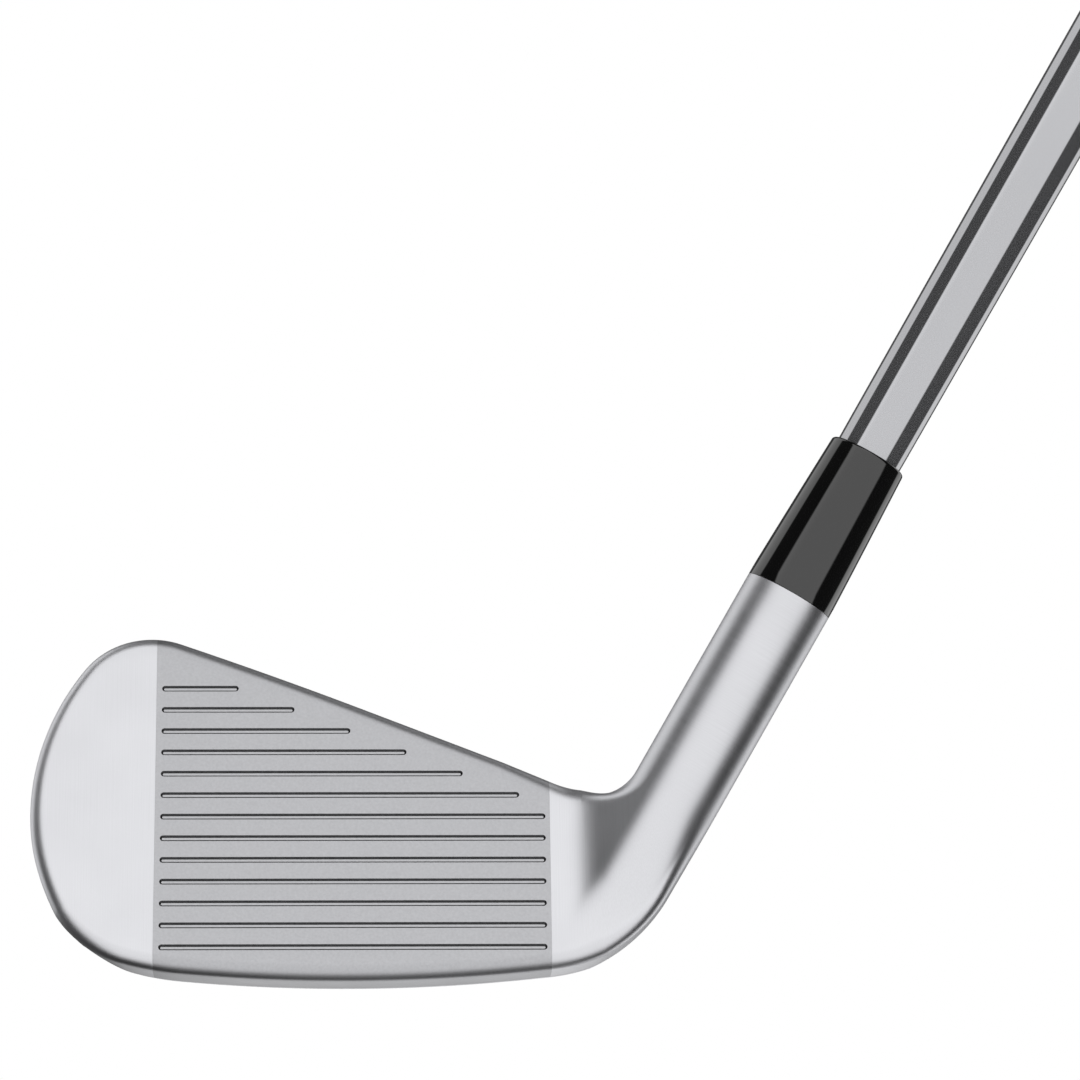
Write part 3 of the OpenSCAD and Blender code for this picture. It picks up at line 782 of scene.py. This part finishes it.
def ferrule_black():
    n = material_nodes("ferrule_black")
    film = n.noise(n.object_point((300, 300, 60), SHAFT_TURN), 1.0, 3.0)
    n.principled(Base_Color=n.mix(n.spread(film, 0, 1), grey(0.0008), grey(0.0016)),
                 Roughness=n.spread(film, 0.05, 0.10), IOR=1.6, Specular_IOR_Level=0.7,
                 Coat_Weight=0.4, Coat_Roughness=0.04)
    return n.owner


def simple(name, low, high, rough, metallic=0.0, scale=600.0, bump=0.2,
           point_scale=(1, 1, 1), turn=(0, 0, 0)):
    """Even material with a mottled tone, roughness and a fine relief."""
    n = material_nodes(name)
    grain = n.noise(n.object_point(point_scale, turn), scale, 3.0, 0.6)
    n.principled(Base_Color=n.mix(n.spread(grain, 0, 1), low, high), Metallic=metallic,
                 Roughness=n.spread(grain, rough - 0.06, rough + 0.06),
                 Normal=n.bump(grain, bump, 0.00005))
    return n.owner


def slot_polymer():
    return simple("slot_polymer", grey(0.02), grey(0.035), 0.5)


def screw_steel():
    return simple("screw_steel", grey(0.5), grey(0.6), 0.3, 1.0)


def badge_metal():
    """Dark aluminium brushed along the blade."""
    return simple("badge_metal", grey(0.22), grey(0.34), 0.34, 1.0, 1.0, 0.2, (300, 9000, 9000), FACE_TURN)


def grip_rubber():
    return simple("grip_rubber", grey(0.015), grey(0.03), 0.6, 0.0, 900.0)


def cap_rubber():
    return simple("cap_rubber", grey(0.02), grey(0.03), 0.55)


def band_foil():
    return simple("band_foil", grey(0.05), grey(0.09), 0.25, 0.0, 60.0, 0.05)


def painted_groove_shade():
    """Milled walls of the score lines, painted near black as the shade inside the grooves."""
    return simple("painted_groove_shade", grey(0.05), grey(0.10), 0.45, 1.0, 3000.0)


def set_material(obj, material):
    obj.data.materials.clear()
    obj.data.materials.append(material)


# ----------------------------------------
# Head
# ----------------------------------------
LINE_ABOVE, LINE_FLARE, LINE_END_POINTS = 0.3, 1.6, 13
SEAT_HEIGHTS = (-8, 70)  # past the blade's lower and upper edge


def stadium(toe, heel, middle, radius, points):
    """Outline with two straight sides and round ends: x and the coordinate across it."""
    turn = np.linspace(-math.pi / 2, math.pi / 2, points)
    right = [(heel + radius * math.cos(a), middle + radius * math.sin(a)) for a in turn]
    left = [(toe - radius * math.cos(a), middle - radius * math.sin(a)) for a in turn]
    return right + left


def score_cutters(floor_material, wall_material):
    """One joined solid of all score lines: flat floors, sloping walls and round ends."""
    verts, faces, walls = [], [], []
    half = LINE_WIDTH / 2
    levels = [(-LINE_ABOVE, half * LINE_FLARE), (0.0, half), (LINE_DEPTH, LINE_FLOOR * half)]
    n = 2 * LINE_END_POINTS
    for i in range(LINE_COUNT):
        w = LINE_FIRST + i * LINE_PITCH
        toe = PLATE_TOE_X + LINE_TOE_MARGIN + half
        slanted = LINE_END_X - (w - LINE_END_W) / math.tan(LINE_END_SLOPE)
        heel = min(PLATE_HEEL_X - LINE_HEEL_MARGIN, slanted) - half
        base = len(verts)
        for depth, radius in levels:
            verts += [(x, across, depth) for x, across in stadium(toe, heel, w, radius, LINE_END_POINTS)]
        for level in range(len(levels) - 1):
            walls += range(len(faces), len(faces) + n)
            faces += ring_faces(base + level * n, base + (level + 1) * n, n)
        faces.append(tuple(range(base + n - 1, base - 1, -1)))
        faces.append(tuple(range(len(verts) - n, len(verts))))
    obj = new_object("score_cutters", to_row(from_face(np.array(verts))), faces, smooth=False)
    obj.data.materials.append(floor_material)
    obj.data.materials.append(wall_material)
    for i in walls:
        obj.data.polygons[i].material_index = 1
    fix_normals(obj)
    return obj


def copy_object(obj, name):
    twin = bpy.data.objects.new(name, obj.data.copy())
    bpy.context.scene.collection.objects.link(twin)
    return twin


def grown(area, radius, steps=8):
    """Outline of a convex polygon, given anticlockwise, grown by a radius with round corners."""
    points = []
    n = len(area)
    for i in range(n):
        p, before, after = (np.array(area[k % n], float) for k in (i, i - 1, i + 1))
        leave, arrive = after - p, p - before
        a0 = math.atan2(arrive[1], arrive[0]) - math.pi / 2
        a1 = math.atan2(leave[1], leave[0]) - math.pi / 2
        turn = (a1 - a0) % (2 * math.pi)
        for k in range(steps + 1):
            angle = a0 + turn * k / steps
            points.append((p[0] + radius * math.cos(angle), p[1] + radius * math.sin(angle)))
    return points


def shaft_cylinder(name, start, end, radius, segments=96):
    """Solid round bar on the shaft axis."""
    return lathe(name, [(MIDDLE_R, start), (radius, start), (radius, end), (MIDDLE_R, end)], segments)


def cavity_cutter():
    """Cavity behind the plate: its outline on the face crossed with its section."""
    overlap, flat_end = 0.5, MUSCLE_LOW + 0.5
    toe, heel, up = -80, 10, 60  # past the cavity's outline on each side
    thin, deep = TOP_THICKNESS - CAVITY_WALL, SOLE_DEPTH - MUSCLE_WALL
    hollow = prism("cavity", CAVITY, PLATE_THICKNESS - overlap, SOLE_DEPTH)
    section = [(CAVITY_FLOOR, -PAST), (CAVITY_FLOOR, PLATE_THICKNESS),
               (CAVITY_FLOOR + deep * math.tan(LOFT), deep), (flat_end, deep),
               (mix(MUSCLE_LOW, MUSCLE_HIGH, KNEE_HEIGHT), mix(deep, thin, KNEE_DEPTH)),
               (MUSCLE_HIGH, thin), (up, thin), (up, -PAST)]
    across = loft("cavity_section", [(toe, w, q) for w, q in section], [(heel, w, q) for w, q in section])
    cut(hollow, across, "INTERSECT")
    remove(across)
    return hollow


def slot_bar(name, shrink=0.0):
    """Bar that fills the slot of the sole, or one smaller all round by the shrink."""
    edge = stadium(SLOT_TOE_X, SLOT_HEEL_X, SLOT_DEPTH + SLOT_WIDTH / 2, SLOT_WIDTH / 2 - shrink, 24)
    top = SLOT_TOP - shrink
    return loft(name, [(x, top, q) for x, q in edge], [(x, top - SLOT_BAR, q) for x, q in edge])


def build_head():
    """Body, face plate and slot insert, all cut from the one skin."""
    verts, faces = head_skin()
    skin = new_object("skin", to_row(verts), faces)
    fix_normals(skin)

    body = copy_object(skin, "head_body")
    seat = rectangle(PLATE_TOE_X, PLATE_HEEL_X, *SEAT_HEIGHTS)
    weight = circle(WEIGHT_W, WEIGHT_Q, WEIGHT_R + GAP)
    cutters = [
        prism("plate_cut", seat, -PAST, PLATE_THICKNESS),
        cavity_cutter(),
        loft("weight_cut", [(WEIGHT_X - GAP, w, q) for w, q in weight],
             [(WEIGHT_X + WEIGHT_LENGTH + GAP, w, q) for w, q in weight]),
        slot_bar("slot_cut"),
        prism("port_cut", circle(PORT_X, PORT_W, PORT_R + GAP),
              SOLE_DEPTH - PORT_DEPTH, SOLE_DEPTH + PAST),
        prism("port_head_cut", circle(PORT_X, PORT_W, PORT_HEAD_R + GAP),
              SOLE_DEPTH - PORT_HEAD_H - GAP, SOLE_DEPTH + PAST),
        prism("badge_cut", grown(BADGE, BADGE_ROUND), TOP_THICKNESS - BADGE_RECESS, TOP_THICKNESS + PAST),
        shaft_cylinder("bore_cut", HOSEL_TOP - BORE_DEPTH, HOSEL_TOP + PAST, BORE_R)]
    for cutter in cutters:
        cut(body, cutter)

    plate = copy_object(skin, "face_plate")
    half_gap = GAP / 2
    inner_seat = rectangle(PLATE_TOE_X + half_gap, PLATE_HEEL_X - half_gap, *SEAT_HEIGHTS)
    keep = prism("plate_keep", inner_seat, -PAST, PLATE_THICKNESS - GAP)
    cut(plate, keep, "INTERSECT")
    blasted = blasted_steel()
    set_material(plate, blasted)
    # the score lines' walls take a near-black material: painted shade in the grooves
    lines = score_cutters(blasted, painted_groove_shade())
    cut(plate, lines, keep_materials=True)

    insert = copy_object(skin, "slot_insert")
    bar = slot_bar("slot_keep", GAP)
    cut(insert, bar, "INTERSECT")

    for obj in (body, plate, insert):
        take_normals(obj, skin)
    set_material(body, satin_steel())
    set_material(insert, slot_polymer())
    add_piece(body, "head_body")
    add_piece(plate, "face_plate")
    add_piece(insert, "slot_insert")
    for obj in [skin, keep, lines, bar] + cutters:
        remove(obj)


def build_badge():
    """Thin plate with a bevelled rim and a raised plain border."""
    below, play, bevel, border, sunk = 0.03, 0.1, 0.2, 1.1, 0.12
    outer, rim = TOP_THICKNESS - below, BADGE_ROUND - play
    rings = [(rim, outer - BADGE_THICKNESS), (rim, outer - bevel), (rim - bevel, outer),
             (BADGE_ROUND - border, outer), (BADGE_ROUND - border - sunk, outer - sunk)]
    loops = [[(x, w, q) for x, w in grown(BADGE, radius)] for radius, q in rings]
    obj = stack("back_badge", loops, smooth=False)
    set_material(obj, badge_metal())
    add_piece(obj, "back_badge")


def build_port_screw():
    """Flush screw with a hexagonal socket and a chamfered head."""
    sunk, chamfer, tip_chamfer, segments = 0.35, 0.25, 0.2, 96
    socket_r, socket_sides, socket_depth = 1.2, 6, 0.9
    top, under, tip = SOLE_DEPTH - sunk, SOLE_DEPTH - PORT_HEAD_H, SOLE_DEPTH - PORT_DEPTH
    rings = [(MIDDLE_R, tip), (PORT_R - tip_chamfer, tip), (PORT_R, tip + tip_chamfer), (PORT_R, under),
             (PORT_HEAD_R, under), (PORT_HEAD_R, top - chamfer), (PORT_HEAD_R - chamfer, top),
             (MIDDLE_R, top)]
    loops = [[(x, w, q) for x, w in circle(PORT_X, PORT_W, radius, segments)] for radius, q in rings]
    obj = stack("port_screw", loops, smooth=True)
    hexagon = circle(PORT_X, PORT_W, socket_r, socket_sides)
    socket = prism("socket", hexagon, SOLE_DEPTH - socket_depth, SOLE_DEPTH + PAST)
    cut(obj, socket)
    remove(socket)
    crisp(obj, 30)
    set_material(obj, screw_steel())
    add_piece(obj, "port_screw")


# ----------------------------------------
# Shaft, ferrule and grip
# ----------------------------------------
def round_lower(radius, along, size, points):
    """Quarter round from the flat lower end of a turned piece out to its side."""
    return [(radius - size * (1 - math.sin(a)), along + size * (1 - math.cos(a)))
            for a in np.linspace(0, math.pi / 2, points)]


def round_upper(radius, along, size, points):
    """Quarter round from the side of a turned piece in to its flat upper end."""
    return [(radius - size * (1 - math.cos(a)), along - size * (1 - math.sin(a)))
            for a in np.linspace(0, math.pi / 2, points)]


def build_shaft():
    """Steel tube: parallel at the tip, then one short cone up to the next radius at each step."""
    tip_wall, step_wall, butt_wall, thin_run = 1.2, 0.6, 0.4, 340.0
    chamfer, before, cone, after = 0.3, 0.1, 0.6, 0.7
    rise = (BUTT_R - FIRST_STEP_R) / STEP_COUNT
    tip_end = TIP_ALONG + chamfer
    profile = [(TIP_R - tip_wall, TIP_ALONG), (TIP_R - chamfer, TIP_ALONG), (TIP_R, tip_end)]
    profile += [(mix(TIP_R, NECK_R, t), mix(tip_end, NECK_ALONG, t)) for t in (0.5, 1.0)]
    for i in range(STEP_COUNT):
        along = FIRST_STEP + i * STEP_PITCH
        low = FIRST_STEP_R + i * rise
        high = low + rise
        profile += [(low, along - before), (low, along), (high, along + cone), (high, along + after)]
    inner = BUTT_R - butt_wall
    profile += [(BUTT_R, SHAFT_END), (inner, SHAFT_END), (inner, SHAFT_END - thin_run)]
    profile += [(FIRST_STEP_R - step_wall, FIRST_STEP)]
    obj = lathe("shaft", profile, 192)
    crisp(obj, 20)
    set_material(obj, chrome())
    add_piece(obj, "shaft")


def build_ferrule():
    """Collar with a short straight foot, a slight taper and rounded ends."""
    foot_round, top_round, straight, swell = 0.12, 0.5, 1.5, 1.1
    press_fit, top_play = 0.05, 0.02
    base, top = HOSEL_TOP + GAP, HOSEL_TOP + FERRULE_LENGTH
    profile = [(NECK_R - press_fit, base)] + round_lower(HOSEL_R, base, foot_round, 5)
    profile += [(HOSEL_R, HOSEL_TOP + straight)]
    profile += [(mix(HOSEL_R, FERRULE_TOP_R, t ** swell), mix(HOSEL_TOP + straight, top - top_round, t))
                for t in np.linspace(0, 1, 14)[1:]]
    profile += round_upper(FERRULE_TOP_R, top, top_round, 8)[1:]
    profile += [(NECK_R + top_play, top)]
    obj = lathe("ferrule", profile, 192)
    crisp(obj, 40)
    set_material(obj, ferrule_black())
    add_piece(obj, "ferrule")


def ridge(phase, width):
    """1 in the middle of a groove that repeats with each whole phase, 0 outside it."""
    off = np.abs(phase - np.round(phase))
    return ease(1 - off / width)


def build_grip():
    """Tapered grip with crossed moulded grooves, plain ends and three smooth rings."""
    segments, rows = 240, 420
    groove_turns, groove_lead, groove_width, groove_depth = 20, 13.0, 0.17, 0.4
    mouth_round, slow_run, slow_rise, butt_run, butt_rise = 1.0, 50.0, 0.4, 60.0, 1.0
    plain_low, plain_high, plain_fade = 14.0, 10.0, 1.5
    ring_places, ring_half, ring_fade = (0.36, 0.5, 0.64), 2.2, 0.8
    mouth, top = CLUB_LENGTH - GRIP_LENGTH, CLUB_LENGTH - CAP_HEIGHT - GAP
    stations = [mouth + mouth_round, mouth + slow_run, top - butt_run, top]
    radii = [GRIP_MOUTH_R, GRIP_MOUTH_R + slow_rise, GRIP_BUTT_R - butt_rise, GRIP_BUTT_R]
    along = np.linspace(mouth + mouth_round, top, rows)
    radius = np.interp(along, stations, radii)
    a, h = np.meshgrid(np.linspace(0, 1, segments, endpoint=False), (along - mouth) / groove_lead)
    a *= groove_turns
    grooves = np.maximum(ridge(a + h, groove_width), ridge(a - h, groove_width))
    plain = ease(np.minimum(along - mouth - plain_low, top - plain_high - along) / plain_fade)
    for place in ring_places:
        plain *= ease((np.abs(along - mix(mouth, top, place)) - ring_half) / ring_fade)
    surface = radius[:, None] - groove_depth * grooves * plain[:, None]
    inner = TAPE_R + GAP
    rings, places = [np.full(segments, inner)], [mouth]
    for ring, place in round_lower(GRIP_MOUTH_R, mouth, mouth_round, 5)[:-1]:
        rings.append(np.full(segments, ring))
        places.append(place)
    rings += list(surface) + [np.full(segments, inner)]
    places += list(along) + [top]
    obj = turned("grip", places, np.array(rings))
    crisp(obj, 50)
    set_material(obj, grip_rubber())
    add_piece(obj, "grip")


def build_grip_cap():
    """Cap with three fine grooves round its side, a rounded end and a vent hole."""
    cap_r, side_round, end_round, vent_edge = GRIP_BUTT_R + 0.5, 0.4, 2.0, 0.3
    groove_first, groove_pitch, groove_half, groove_depth = 2.0, 1.2, 0.3, 0.25
    base, inner, floor = CLUB_LENGTH - CAP_HEIGHT, TAPE_R + GAP, SHAFT_END + GAP
    profile = [(inner, base)] + round_lower(cap_r, base, side_round, 5)
    for i in range(3):
        at = base + groove_first + groove_pitch * i
        profile += [(cap_r, at - groove_half), (cap_r - groove_depth, at), (cap_r, at + groove_half)]
    profile += round_upper(cap_r, CLUB_LENGTH, end_round, 12)
    profile += [(VENT_R + vent_edge, CLUB_LENGTH), (VENT_R, CLUB_LENGTH - vent_edge)]
    profile += [(VENT_R, floor), (inner, floor)]
    obj = lathe("grip_cap", profile)
    crisp(obj, 35)
    set_material(obj, cap_rubber())
    add_piece(obj, "grip_cap")


def build_band():
    """Foil round the shaft with rounded edges and two raised plain lines."""
    edge_drop, edge_run, margin = 0.05, 0.1, 2.0
    line_width, line_rise, line_slope = 1.0, 0.03, 0.05
    inner = BUTT_R + GAP
    outer = inner + BAND_THICKNESS
    flat = outer - line_rise
    end = BAND_ALONG + BAND_LENGTH
    profile = [(inner, BAND_ALONG), (outer - edge_drop, BAND_ALONG), (flat, BAND_ALONG + edge_run)]
    for at in (BAND_ALONG + margin, end - margin - line_width):
        profile += [(flat, at), (outer, at + line_slope)]
        profile += [(outer, at + line_width - line_slope), (flat, at + line_width)]
    profile += [(flat, end - edge_run), (outer - edge_drop, end), (inner, end)]
    obj = lathe("shaft_band", profile, 192)
    crisp(obj, 25)
    set_material(obj, band_foil())
    add_piece(obj, "shaft_band")


build_head()
build_badge()
build_port_screw()
build_shaft()
build_ferrule()
build_band()
build_grip()
build_grip_cap()

CARRIED = {
    "toe_weight": simple("tungsten", grey(0.22), grey(0.32), 0.55, 1.0),
    "core_filler": simple("elastomer", (0.5, 0.45, 0.34), (0.6, 0.54, 0.42), 0.7),
    "badge_tape": simple("adhesive_foam", grey(0.6), grey(0.75), 0.8),
    "hosel_epoxy": simple("epoxy", (0.55, 0.4, 0.18), (0.66, 0.5, 0.26), 0.4),
    "tip_plug": simple("plug_rubber", (0.2, 0.12, 0.07), (0.3, 0.19, 0.12), 0.8),
    "grip_tape": simple("tape_paper", (0.68, 0.6, 0.46), (0.76, 0.7, 0.56), 0.85),
}
for name, material in CARRIED.items():
    set_material(nodes[name], material)


# ----------------------------------------
# Stage: floor, studio light and camera
# ----------------------------------------
FLOOR_HALF, FLOOR_GLOW = 20.0, 0.36


def build_floor():
    """Pale floor, seen from above only, and left out of reflections like a lit sweep."""
    corners = [(x, y, 0) for x, y in rectangle(-FLOOR_HALF, FLOOR_HALF, -FLOOR_HALF, FLOOR_HALF)]
    obj = new_object("floor", corners, [(0, 1, 2, 3)])
    obj.visible_glossy = False
    n = material_nodes("floor_paint")
    speckle = n.noise(n.object_point(), 40.0, 3.0)
    paint = n.principled(Base_Color=n.mix(n.spread(speckle, 0, 1), grey(0.80), grey(0.82)), Roughness=0.9,
                         Emission_Color=(1.0, 1.0, 1.0), Emission_Strength=FLOOR_GLOW)
    clear = n.add("ShaderNodeBsdfTransparent")
    n.choose(n.add("ShaderNodeNewGeometry").outputs["Backfacing"], paint.outputs[0], clear.outputs[0])
    set_material(obj, n.owner)


# Light seen in each direction round the club, from behind it on the left, over the camera at 0
# degrees, to behind it on the right, for the upper and the lower half: (azimuth, brightness)
DARK, BOX, STRIP, REAR = 0.038, 0.92, 0.73, 0.08
UPPER = [(-180, REAR), (-153, REAR), (-148, STRIP), (-104, STRIP), (-99, DARK), (-48, DARK), (-44, BOX * 1.1),
         (-30, BOX), (56, BOX), (60, DARK), (116, DARK), (121, STRIP), (146, STRIP), (150, REAR), (180, REAR)]
LOWER = [(-180, BOX), (-176, BOX), (-167, 0.10), (-99, DARK), (-48, DARK), (-44, BOX), (56, BOX), (60, DARK),
         (116, DARK), (121, STRIP * 1.2), (150, STRIP * 1.2), (158, REAR), (168, BOX), (180, BOX)]
HORIZON = (-16, -5)
# The same from straight down to straight up, as a factor: (elevation, factor)
UPWARD = [(-90, 0.26), (-60, 0.26), (-42, 1.0), (25, 1.0), (50, 1.12), (64, 1.12), (73, 0.12), (90, 0.07)]


def build_light():
    """The studio as the metal sees it; the camera itself sees plain white round the club."""
    world = bpy.data.worlds.new("studio")
    bpy.context.scene.world = world
    n = Nodes(world, "ShaderNodeOutputWorld")
    x, y, z = n.split(n.add("ShaderNodeTexCoord").outputs["Generated"])
    azimuth = n.math("MULTIPLY", n.math("ARCTAN2", x, n.math("MULTIPLY", y, -1.0)), 180 / math.pi)
    elevation = n.math("MULTIPLY", n.math("ARCSINE", z), 180 / math.pi)
    level = n.add("ShaderNodeMapRange", interpolation_type="SMOOTHSTEP")
    level.inputs["From Min"].default_value, level.inputs["From Max"].default_value = HORIZON
    n.link(elevation, level.inputs["Value"])
    around = n.mix(level.outputs[0], n.ramp(azimuth, LOWER, -180, 180), n.ramp(azimuth, UPPER, -180, 180))
    studio = n.mix(1.0, around, n.ramp(elevation, UPWARD, -90, 90), blend="MULTIPLY")
    lit, backdrop = n.add("ShaderNodeBackground"), n.add("ShaderNodeBackground")
    n.link(studio, lit.inputs["Color"])
    backdrop.inputs["Color"].default_value = (1, 1, 1, 1)
    n.choose(n.add("ShaderNodeLightPath").outputs["Is Camera Ray"], lit.outputs[0], backdrop.outputs[0])


CAMERA_PLACE = (-0.579, -929.972, -32.953)
CAMERA_PITCH, CAMERA_YAW, CAMERA_ROLL = 5.934, -1.686, 0.168
CAMERA_LENS = 218.95


def build_camera():
    data = bpy.data.cameras.new("camera")
    data.lens = CAMERA_LENS
    data.sensor_width = 36.0
    data.clip_start = 0.05
    data.clip_end = 100
    obj = bpy.data.objects.new("camera", data)
    bpy.context.scene.collection.objects.link(obj)
    obj.location = Vector(CAMERA_PLACE) * MM
    turn = Euler((0, 0, math.radians(CAMERA_YAW))).to_matrix()
    tilt = Euler((math.radians(90 + CAMERA_PITCH), 0, 0)).to_matrix()
    roll = Euler((0, 0, math.radians(-CAMERA_ROLL))).to_matrix()
    obj.rotation_euler = (turn @ tilt @ roll).to_euler()
    bpy.context.scene.camera = obj


build_floor()
build_light()
build_camera()
bpy.context.scene.view_settings.view_transform = "Standard"
